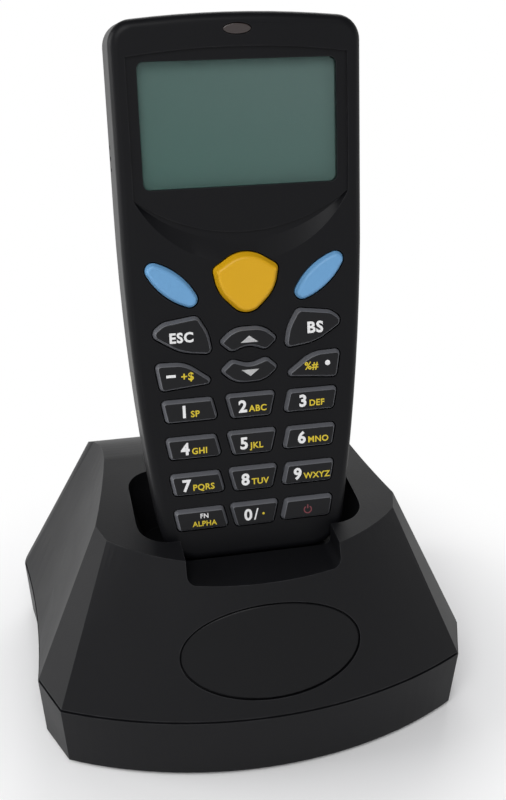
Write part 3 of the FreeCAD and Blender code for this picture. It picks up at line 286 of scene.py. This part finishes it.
def wear_group():
    """Edge rubbing and painted highlight: a mask of the edges, broken up by noise, that lightens and
    polishes them. The lightening stands partly for rubbed plastic and partly for painted highlights along
    the edges.
    """
    group = bpy.data.node_groups.new("edge_wear_and_highlight", "ShaderNodeTree")
    face = group.interface
    face.new_socket("Colour", in_out="INPUT", socket_type="NodeSocketColor")
    face.new_socket("Worn And Highlit Colour", in_out="INPUT", socket_type="NodeSocketColor")
    face.new_socket("Roughness", in_out="INPUT", socket_type="NodeSocketFloat")
    face.new_socket("Edge Width", in_out="INPUT", socket_type="NodeSocketFloat")
    face.new_socket("Wear And Highlight", in_out="INPUT", socket_type="NodeSocketFloat")
    face.new_socket("Colour", in_out="OUTPUT", socket_type="NodeSocketColor")
    face.new_socket("Roughness", in_out="OUTPUT", socket_type="NodeSocketFloat")
    nodes = group.nodes
    links = group.links
    given = nodes.new("NodeGroupInput")
    result = nodes.new("NodeGroupOutput")
    place = nodes.new("ShaderNodeTexCoord")
    shape = nodes.new("ShaderNodeNewGeometry")
    rounded = nodes.new("ShaderNodeBevel")
    rounded.samples = 4
    links.new(given.outputs["Edge Width"], rounded.inputs["Radius"])
    facing = nodes.new("ShaderNodeVectorMath")
    facing.operation = "DOT_PRODUCT"
    links.new(rounded.outputs["Normal"], facing.inputs[0])
    links.new(shape.outputs["True Normal"], facing.inputs[1])
    edge = ramp_node(nodes, links, facing.outputs["Value"], EDGE_START, EDGE_FULL, 0.0, 1.0)
    patchy = nodes.new("ShaderNodeTexNoise")
    patchy.inputs["Scale"].default_value = WEAR_HIGHLIGHT_SCALE
    patchy.inputs["Detail"].default_value = 5.0
    links.new(place.outputs["Object"], patchy.inputs["Vector"])
    broken = ramp_node(nodes, links, patchy.outputs["Fac"], 0.35, 0.65, 0.35, 1.0)
    patches = math_node(nodes, links, "MULTIPLY", edge, broken)
    mask = math_node(nodes, links, "MULTIPLY", patches, given.outputs["Wear And Highlight"])
    # Painted highlight: the masked edges are mixed towards a lighter colour, partly as rubbing and partly
    # as light caught by the edges.
    blend = nodes.new("ShaderNodeMix")
    blend.data_type = "RGBA"
    links.new(mask, blend.inputs["Factor"])
    links.new(given.outputs["Colour"], blend.inputs["A"])
    links.new(given.outputs["Worn And Highlit Colour"], blend.inputs["B"])
    polish = math_node(nodes, links, "MULTIPLY", mask, WEAR_POLISH)
    worn_roughness = math_node(nodes, links, "SUBTRACT", given.outputs["Roughness"], polish)
    links.new(blend.outputs["Result"], result.inputs["Colour"])
    links.new(worn_roughness, result.inputs["Roughness"])
    return group


GRAIN = grain_group()
WEAR_AND_HIGHLIGHT = wear_group()


def moulded(name, colour, roughness, scale, depth, drift, wear_and_highlight=0.0, **sockets):
    """A moulded material: grain everywhere and, where it is handled, edges made lighter, partly as rubbing
    and partly as a painted highlight.
    """
    material, tree, shader = new_material(name)
    grain = tree.nodes.new("ShaderNodeGroup")
    grain.node_tree = GRAIN
    grain.inputs["Colour"].default_value = colour
    grain.inputs["Roughness"].default_value = roughness
    grain.inputs["Grain Scale"].default_value = scale
    grain.inputs["Grain Depth"].default_value = depth
    grain.inputs["Drift"].default_value = drift
    surface = grain
    if wear_and_highlight:
        surface = tree.nodes.new("ShaderNodeGroup")
        surface.node_tree = WEAR_AND_HIGHLIGHT
        # Painted highlight: the edge colour is a lighter copy of the base colour, partly rubbing and partly
        # light caught by the edges.
        worn_and_highlit = [WEAR_HIGHLIGHT_GAIN * part + WEAR_HIGHLIGHT_LIFT for part in colour[:3]]
        surface.inputs["Worn And Highlit Colour"].default_value = worn_and_highlit + [1]
        surface.inputs["Edge Width"].default_value = WEAR_HIGHLIGHT_WIDTH
        surface.inputs["Wear And Highlight"].default_value = wear_and_highlight
        tree.links.new(grain.outputs["Colour"], surface.inputs["Colour"])
        tree.links.new(grain.outputs["Roughness"], surface.inputs["Roughness"])
    tree.links.new(surface.outputs["Colour"], shader.inputs["Base Color"])
    tree.links.new(surface.outputs["Roughness"], shader.inputs["Roughness"])
    tree.links.new(grain.outputs["Normal"], shader.inputs["Normal"])
    for socket, value in sockets.items():
        shader.inputs[socket.replace("_", " ")].default_value = value
    return material


def node_copy(node, name):
    """A merged copy of a CAD node's mesh, with its flat faces made whole again."""
    bm = bmesh.new()
    bm.from_mesh(frame["nodes"][node].data)
    bmesh.ops.remove_doubles(bm, verts=bm.verts, dist=MERGE)
    bmesh.ops.dissolve_limit(
        bm, angle_limit=FLAT_ANGLE, verts=bm.verts, edges=bm.edges, delimit={"NORMAL"})
    mesh = bpy.data.meshes.new(name)
    bm.to_mesh(mesh)
    bm.free()
    return mesh


def finished(mesh, name, edge, segments):
    """Puts a mesh in the scene with small radii on its edges and shading kept to each face."""
    mesh.shade_smooth()
    mesh.set_sharp_from_angle(angle=SHARP_ANGLE)
    obj = link(bpy.data.objects.new(name, mesh))
    if edge:
        bevel = obj.modifiers.new("edge_radius", "BEVEL")
        bevel.width = edge
        bevel.segments = segments
        bevel.limit_method = "ANGLE"
        bevel.angle_limit = CREASE_ANGLE
    weighted = obj.modifiers.new("normals", "WEIGHTED_NORMAL")
    weighted.keep_sharp = True
    return obj


def dressed(node, body, materials, edge, segments=2):
    """A finished piece in the exact shape and place of a CAD node, which it stands for."""
    obj = finished(node_copy(node, node + "_finish"), node + "_finish", edge, segments)
    for material in materials:
        obj.data.materials.append(material)
    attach(obj, body)
    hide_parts(node)
    return obj


shell_plastic = moulded("shell_plastic", SHELL_COLOUR, 0.42, 2600.0, 0.30, 0.10, wear_and_highlight=0.5,
                        Specular_IOR_Level=SHEEN)
dressed("front_shell", "terminal", [shell_plastic], SHELL_EDGE)
dressed("rear_shell", "terminal", [shell_plastic], SHELL_EDGE)
dressed("battery_door", "battery_door", [shell_plastic], DOOR_EDGE)


# Screws: blackened steel cross heads, sunk in the rear shell and under the cradle's tray. The
# recesses keep sharp flanks, and only the heads' rims are eased.
screw_steel = moulded("screw_steel", (0.10, 0.10, 0.105, 1), 0.35, 900.0, 0.1, 0.1, Metallic=1.0)
dressed("shell_screws", "terminal", [screw_steel], 0.00008)
dressed("cradle_screws", "cradle", [screw_steel], 0.00012)


# Display: a clear pane glued in the bezel over a grey-green liquid crystal panel in a black
# frame. The panel is switched off and blank.
def pane_material():
    """Clear hard-coated sheet with a faint green cast."""
    material, tree, shader = new_material("clear_pane")
    shader.inputs["Base Color"].default_value = (0.04, 0.08, 0.07, 1)
    shader.inputs["Roughness"].default_value = 0.06
    shader.inputs["Alpha"].default_value = 0.18
    shader.inputs["Specular IOR Level"].default_value = 0.5
    return material


def liquid_crystal():
    """Blank grey-green panel with a faint grid of unlit dots, painted paler to the upper right as a
    reflection.
    """
    material, tree, shader = new_material("liquid_crystal")
    nodes, links = tree.nodes, tree.links
    place = nodes.new("ShaderNodeTexCoord")
    split = nodes.new("ShaderNodeSeparateXYZ")
    links.new(place.outputs["Object"], split.inputs["Vector"])
    low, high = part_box("lcd_panel")
    # Painted reflection: the panel's colour grows paler towards the right and towards the top.
    reflection_across = ramp_node(nodes, links, split.outputs["X"], low.x, high.x, 0.0, 0.4)
    up = ramp_node(nodes, links, split.outputs["Z"], low.z, high.z, 0.0, 0.6)
    reflection_tint = nodes.new("ShaderNodeMix")
    reflection_tint.data_type = "RGBA"
    reflection_tint.inputs["A"].default_value = (0.100, 0.205, 0.180, 1)
    reflection_tint.inputs["B"].default_value = (0.150, 0.235, 0.218, 1)
    links.new(math_node(nodes, links, "ADD", reflection_across, up), reflection_tint.inputs["Factor"])
    column = math_node(nodes, links, "PINGPONG", split.outputs["X"], DOT_PITCH / 2)
    row = math_node(nodes, links, "PINGPONG", split.outputs["Z"], DOT_PITCH / 2)
    gap = math_node(nodes, links, "MINIMUM", column, row)
    dots = ramp_node(nodes, links, gap, 0.0, DOT_PITCH * 0.12, 0.98, 1.0)
    shade = nodes.new("ShaderNodeVectorMath")
    shade.operation = "SCALE"
    links.new(reflection_tint.outputs["Result"], shade.inputs[0])
    links.new(dots, shade.inputs["Scale"])
    links.new(shade.outputs["Vector"], shader.inputs["Base Color"])
    shader.inputs["Roughness"].default_value = 0.5
    shader.inputs["Specular IOR Level"].default_value = 0.15
    return material


DOT_PITCH = 0.00036
lcd_glass = liquid_crystal()
inner_black = moulded("inner_black", (0.0055, 0.0055, 0.006, 1), 0.5, 1500.0, 0.2, 0.1,
                      Specular_IOR_Level=0.2)
dressed("display_window", "terminal", [pane_material()], 0.0003, 3)
dressed("lcd_panel", "terminal", [lcd_glass], 0.0001)
dressed("lcd_frame", "terminal", [inner_black], 0.0001)


# Lenses: a smoked oval light pipe flush with the face, the dark red window of the reader in the
# top end, and the two smoked windows through which terminal and cradle talk.
smoked = moulded("smoked_lens", (0.034, 0.025, 0.024, 1), 0.18, 500.0, 0.02, 0.02)
dressed("status_lens", "terminal", [smoked], 0.0002, 3)
scan_red = moulded("scan_red", (0.060, 0.012, 0.014, 1), 0.08, 500.0, 0.0, 0.02)
dressed("scan_window", "terminal", [scan_red], 0.0002, 3)
dressed("infrared_window", "terminal", [smoked], 0.0001)
dressed("cradle_infrared_window", "cradle", [smoked], 0.0001)


# Keys: silicone rubber, grey on the flanks, with a black coat on the tops. The scan key is
# yellow and the keys beside it light blue, both moulded through and gently crowned.
KEY_EDGE = 0.00018
CROWN_EDGE = 0.0010
OVAL_EDGE = 0.0007
TOP_FACING = math.cos(math.radians(14))

key_black = moulded("key_black", (0.0060, 0.0062, 0.0075, 1), 0.42, 3000.0, 0.3, 0.06,
                    Specular_IOR_Level=0.2)
# The flanks' edges are made lighter, partly as rubbing and partly as a painted highlight.
key_flank = moulded("key_flank", (0.11, 0.113, 0.125, 1), 0.42, 2500.0, 0.12, 0.06, wear_and_highlight=0.6)
scan_yellow = moulded("scan_yellow", (0.66, 0.36, 0.006, 1), 0.38, 2500.0, 0.05, 0.05,
                      Specular_IOR_Level=0.3)
key_blue = moulded("key_blue", (0.145, 0.345, 0.60, 1), 0.36, 2500.0, 0.05, 0.03,
                   Specular_IOR_Level=0.3)

BLACK_KEYS = ["esc_key", "backspace_key", "minus_key", "symbol_key", "up_key", "down_key",
              "alpha_key", "power_key"] + [f"digit_{number}_key" for number in range(10)]

dressed("scan_key", "scan_key", [scan_yellow], CROWN_EDGE, 6)
dressed("left_blue_key", "left_blue_key", [key_blue], OVAL_EDGE, 5)
dressed("right_blue_key", "right_blue_key", [key_blue], OVAL_EDGE, 5)
for key in BLACK_KEYS:
    cap = dressed(key, key, [key_flank, key_black], KEY_EDGE, 2)
    for face in cap.data.polygons:
        if -face.normal.dot(INTO) > TOP_FACING:
            face.material_index = 1

grey_silicone = moulded("grey_silicone", (0.20, 0.20, 0.21, 1), 0.5, 2000.0, 0.2, 0.1)
dressed("keypad_mat", "terminal", [grey_silicone], 0)


# Legends: white and yellow ink on the key tops, raised by a hair. The digit and its letters stand
# side by side, and the power sign is a dim red.
INK_LIFT = 0.00003
INK_THICKNESS = 0.00006
DIGIT_SIZE = 0.0040
LETTER_SIZE = 0.0023
WORD_SIZE = 0.0032
FIGURE_WIDTH = 0.0019
LETTER_WIDTH = 0.0014
LEGEND_GAP = 0.0005
LETTER_DROP = -0.0006
GROUP_SIZE = LETTER_SIZE * 0.92
ARROW = 0.0021
ARROW_FOOT = 0.0006
ARROW_TIP = 0.0010

ink_white = moulded("ink_white", (0.80, 0.80, 0.80, 1), 0.5, 2000.0, 0.05, 0.03)
ink_yellow = moulded("ink_yellow", (0.66, 0.50, 0.02, 1), 0.5, 2000.0, 0.05, 0.03)
ink_red = moulded("ink_red", (0.16, 0.030, 0.040, 1), 0.5, 2000.0, 0.05, 0.03)


def key_top(key):
    """The middle of a key's top in the row frame."""
    low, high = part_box(key)
    middle = (low + high) / 2
    data = frame["nodes"][key].data
    proud = min((vertex.co - middle).dot(INTO) for vertex in data.vertices)
    return middle + INTO * proud


def on_key(mesh, key, x, y):
    """Stands a flat mesh, drawn in metres about 0,0, on a key's top."""
    turn = Matrix((ACROSS, UP, -INTO)).transposed().to_4x4()
    place = key_top(key) + ACROSS * x + UP * y - INTO * INK_LIFT
    mesh.transform(Matrix.Translation(place) @ turn)
    return mesh


def ink_piece(name, mesh, key, ink):
    """A legend that travels with its key."""
    mesh.materials.append(ink)
    obj = link(bpy.data.objects.new(name, mesh))
    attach(obj, key)
    return obj


def letters(name, text, key, x, y, size, ink, bold=0.02, align="CENTER"):
    """A word as a thin raised mesh, set at x, y of the key's top."""
    curve = bpy.data.curves.new(name, "FONT")
    curve.body = text
    curve.size = size
    curve.align_x = align
    curve.space_character = 1.0 + 3.0 * bold
    curve.align_y = "CENTER"
    curve.offset = bold * size
    curve.extrude = INK_THICKNESS / 2
    curve.resolution_u = 3
    holder = link(bpy.data.objects.new(name + "_curve", curve))
    bpy.context.view_layer.update()
    mesh = bpy.data.meshes.new_from_object(holder)
    bpy.data.objects.remove(holder)
    mesh.name = name
    return ink_piece(name, on_key(mesh, key, x, y), key, ink)


def sign(name, points, key, ink):
    """A flat sign cut from corner points, as thick as the ink."""
    bm = bmesh.new()
    corners = [bm.verts.new((px, py, 0)) for px, py in points]
    bm.faces.new(corners)
    bmesh.ops.solidify(bm, geom=bm.faces, thickness=INK_THICKNESS)
    bmesh.ops.recalc_face_normals(bm, faces=bm.faces)
    mesh = bpy.data.meshes.new(name)
    bm.to_mesh(mesh)
    bm.free()
    return ink_piece(name, on_key(mesh, key, 0, 0), key, ink)


LETTER_GROUPS = {1: "SP", 2: "ABC", 3: "DEF", 4: "GHI", 5: "JKL", 6: "MNO", 7: "PQRS",
                 8: "TUV", 9: "WXYZ"}
for number, group in LETTER_GROUPS.items():
    key = f"digit_{number}_key"
    figure_end = FIGURE_WIDTH / 2 - LETTER_WIDTH * len(group) / 2
    letters(f"figure_{number}", str(number), key, figure_end, 0, DIGIT_SIZE, ink_white, 0.035, "RIGHT")
    letters_start = figure_end + LEGEND_GAP
    letters(f"letters_{number}", group, key, letters_start, LETTER_DROP, GROUP_SIZE,
            ink_yellow, 0.022, "LEFT")
letters("figure_0", "0", "digit_0_key", -0.0018, 0, DIGIT_SIZE, ink_white, 0.03)
letters("figure_0_slash", "/", "digit_0_key", 0.0002, 0, DIGIT_SIZE, ink_white, 0.01)
letters("figure_0_dot", "•", "digit_0_key", 0.0020, 0, LETTER_SIZE, ink_yellow, 0.01)
letters("word_esc", "ESC", "esc_key", -0.0004, 0, WORD_SIZE, ink_white, 0.035)
letters("word_bs", "BS", "backspace_key", 0.0003, 0, WORD_SIZE * 1.15, ink_white, 0.035)
letters("word_minus", "−", "minus_key", -0.0030, 0.0003, DIGIT_SIZE, ink_white, 0.04)
letters("word_plus", "+$", "minus_key", 0.0008, 0.0001, LETTER_SIZE * 1.15, ink_yellow)
letters("word_symbol", "%#", "symbol_key", -0.0010, 0.0001, LETTER_SIZE * 1.1, ink_yellow)
letters("word_dot", "•", "symbol_key", 0.0030, 0.0004, DIGIT_SIZE * 1.1, ink_white)
letters("word_fn", "FN", "alpha_key", 0.0006, 0.00115, LETTER_SIZE * 0.72, ink_white)
letters("word_alpha", "ALPHA", "alpha_key", 0.0006, -0.0008, LETTER_SIZE * 0.8, ink_yellow)
sign("arrow_up", [(-ARROW, -ARROW_FOOT), (ARROW, -ARROW_FOOT), (0, ARROW_TIP)], "up_key", ink_white)
sign("arrow_down", [(-ARROW, ARROW_FOOT), (0, -ARROW_TIP), (ARROW, ARROW_FOOT)], "down_key", ink_white)


RING_INNER = 0.00075
RING_OUTER = 0.00105
RING_START = math.radians(125)
RING_TURN = math.radians(290)
BAR_HALF = 0.00015
BAR_LOW = 0.0003
BAR_HIGH = 0.0013


def power_sign():
    """A broken ring with a bar through the gap."""
    bm = bmesh.new()
    start = bm.verts.new((RING_INNER, 0, 0))
    end = bm.verts.new((RING_OUTER, 0, 0))
    edge = bm.edges.new((start, end))
    bmesh.ops.rotate(bm, verts=[start, end], cent=(0, 0, 0),
                     matrix=Matrix.Rotation(RING_START, 3, "Z"))
    bmesh.ops.spin(bm, geom=[start, end, edge], cent=(0, 0, 0), axis=(0, 0, 1),
                   angle=RING_TURN, steps=20, use_merge=False)
    bar = [bm.verts.new(point) for point in (
        (-BAR_HALF, BAR_LOW, 0), (BAR_HALF, BAR_LOW, 0), (BAR_HALF, BAR_HIGH, 0), (-BAR_HALF, BAR_HIGH, 0))]
    bm.faces.new(bar)
    bmesh.ops.recalc_face_normals(bm, faces=bm.faces)
    bmesh.ops.solidify(bm, geom=bm.faces, thickness=INK_THICKNESS)
    mesh = bpy.data.meshes.new("power_sign")
    bm.to_mesh(mesh)
    bm.free()
    return ink_piece("power_sign", on_key(mesh, "power_key", 0, -0.0002), "power_key", ink_red)


power_sign()


# Inside the terminal: the board, cells, reader and sounder, seen only through the openings or
# with the battery door off. The contacts are plated with gold.
board_green = moulded("board_green", (0.02, 0.09, 0.045, 1), 0.35, 1200.0, 0.1, 0.1)
contact_gold = moulded("contact_gold", (0.83, 0.62, 0.28, 1), 0.25, 800.0, 0.05, 0.05, Metallic=1.0)
cell_jacket = moulded("cell_jacket", (0.05, 0.08, 0.16, 1), 0.3, 800.0, 0.05, 0.05)
dressed("main_board", "terminal", [board_green], 0)
dressed("scan_engine", "terminal", [inner_black], 0.0002)
dressed("battery_cells", "terminal", [cell_jacket], 0.0003)
dressed("battery_contacts", "terminal", [contact_gold], 0)
dressed("sounder", "terminal", [inner_black], 0.0002)
dressed("charge_contacts", "terminal", [contact_gold], 0.0001)


# Cradle: cover and tray in black plastic with a coarser spark-eroded grain than the terminal's.
# The cover is one moulding with soft creases, and the parting line is a shadow groove.
CRADLE_COLOUR = (0.0056, 0.0057, 0.0068, 1)
INLAY_COLOUR = (0.0050, 0.0051, 0.0060, 1)
CRADLE_SHEEN = 0.16
CRADLE_EDGE = 0.0006

# The cradle's edges and the inlay's rim are made lighter, partly as rubbing and partly as a painted
# highlight.
cradle_plastic = moulded("cradle_plastic", CRADLE_COLOUR, 0.46, 1900.0, 0.50, 0.12, wear_and_highlight=0.8,
                         Specular_IOR_Level=CRADLE_SHEEN)
inlay_plastic = moulded("inlay_plastic", INLAY_COLOUR, 0.40, 1900.0, 0.20, 0.05, wear_and_highlight=1.0,
                        Specular_IOR_Level=CRADLE_SHEEN)
dressed("cradle_cover", "cradle", [cradle_plastic], CRADLE_EDGE, 3)
dressed("cradle_tray", "cradle", [cradle_plastic], CRADLE_EDGE, 3)
dressed("oval_inlay", "cradle", [inlay_plastic], 0.0003, 3)


# Under and inside the cradle: rubber feet, an iron weight, the board with its two sockets, and
# the sprung gold pins that charge the terminal.
foot_rubber = moulded("foot_rubber", (0.02, 0.02, 0.02, 1), 0.75, 900.0, 0.6, 0.1)
ballast_iron = moulded("ballast_iron", (0.18, 0.18, 0.18, 1), 0.6, 600.0, 0.5, 0.2, Metallic=1.0)
dressed("rubber_feet", "cradle", [foot_rubber], 0.0003)
dressed("ballast_plate", "cradle", [ballast_iron], 0.0003)
dressed("cradle_board", "cradle", [board_green], 0)
dressed("power_inlet", "cradle", [inner_black], 0.0002)
dressed("data_port", "cradle", [inner_black], 0.0002)
dressed("contact_block", "cradle", [inner_black], 0.0002)
dressed("contact_pins", "contact_pins", [contact_gold], 0.0001)
